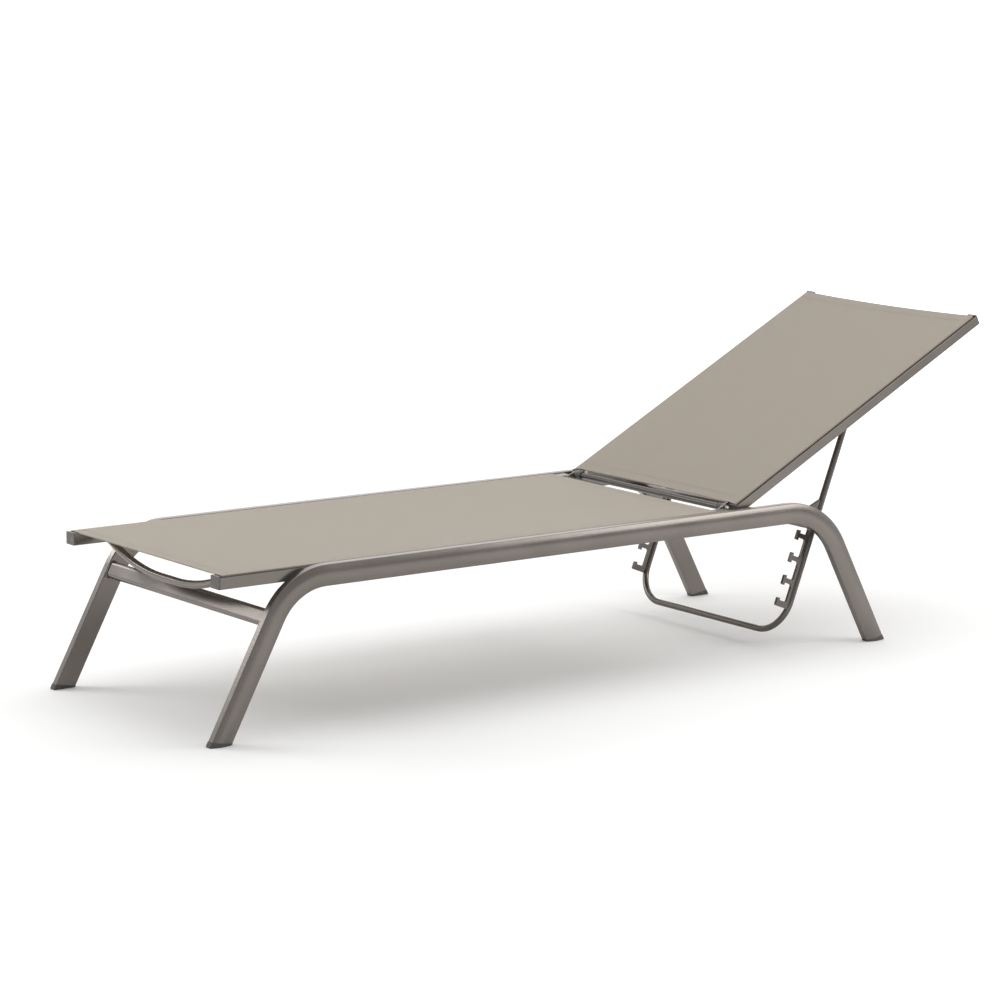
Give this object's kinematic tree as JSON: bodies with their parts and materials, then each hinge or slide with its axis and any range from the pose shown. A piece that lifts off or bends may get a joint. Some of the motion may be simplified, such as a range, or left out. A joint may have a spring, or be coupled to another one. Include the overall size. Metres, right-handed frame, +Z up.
{
  "type": "sun lounger",
  "caption": "Low sun lounger with bent side frames, stretched sling seat, and a tilting sling backrest on a notched U-shaped support.",
  "frame": {"origin": "middle of the footprint on the floor", "axes": "+X towards the head end, +Y towards the right side of a person lying face up with the head at +X, +Z up"},
  "size_m": [1.9534, 0.6076, 0.6698],
  "materials": {
    "coated_tube": "taupe powder coat, satin",
    "dark_plastic": "moulded, matte",
    "spline_plastic": "extruded, matte",
    "sling_cloth": "taupe woven mesh",
    "steel": "zinc plated"
  },
  "bodies": {
    "root": {"catch_bar": "coated_tube", "foot_bow_bar": "coated_tube", "front_cross_tube": "coated_tube", "front_foot_cap_left": "dark_plastic", "front_foot_cap_right": "dark_plastic", "head_bow_bar": "coated_tube", "hinge_bracket_bolts": "steel", "hinge_bracket_left": "coated_tube", "hinge_bracket_right": "coated_tube", "rear_foot_cap_left": "dark_plastic", "rear_foot_cap_right": "dark_plastic", "seat_foot_cap_left": "dark_plastic", "seat_foot_cap_right": "dark_plastic", "seat_head_cap_left": "dark_plastic", "seat_head_cap_right": "dark_plastic", "seat_rail_bolts": "steel", "seat_rail_left": "coated_tube", "seat_rail_right": "coated_tube", "seat_sling": "sling_cloth", "seat_spline_left": "spline_plastic", "seat_spline_right": "spline_plastic", "side_frame_left": "coated_tube", "side_frame_right": "coated_tube"},
    "backrest": {"backrest_head_bar": "coated_tube", "backrest_head_cap_left": "dark_plastic", "backrest_head_cap_right": "dark_plastic", "backrest_lower_cap_left": "dark_plastic", "backrest_lower_cap_right": "dark_plastic", "backrest_rail_left": "coated_tube", "backrest_rail_right": "coated_tube", "backrest_sling": "sling_cloth", "backrest_spline_left": "spline_plastic", "backrest_spline_right": "spline_plastic", "hinge_collar_left": "dark_plastic", "hinge_collar_right": "dark_plastic", "hinge_ear_bolts": "steel", "hinge_ear_left": "coated_tube", "hinge_ear_right": "coated_tube", "hinge_nuts": "steel", "hinge_pins": "steel", "hinge_tube": "coated_tube", "hinge_washers": "dark_plastic", "support_pivot_bolts": "steel", "support_pivot_nuts": "steel", "support_spacers": "dark_plastic"},
    "support": {"arm_plugs": "dark_plastic", "support_loop": "coated_tube", "support_rack_left": "coated_tube", "support_rack_right": "coated_tube"}
  },
  "joints": [
    {"name": "backrest_tilt", "type": "hinge", "parent": "root", "child": "backrest", "pos_m": [0.29513, 0, 0.3155], "axis": [0, -1, 0], "range_deg": [-27.6, 40]},
    {"name": "support_swing", "type": "hinge", "parent": "backrest", "child": "support", "pos_m": [0.63925, 0, 0.48524], "axis": [0, -1, 0], "range_deg": [-6.5, 8]}
  ]
}
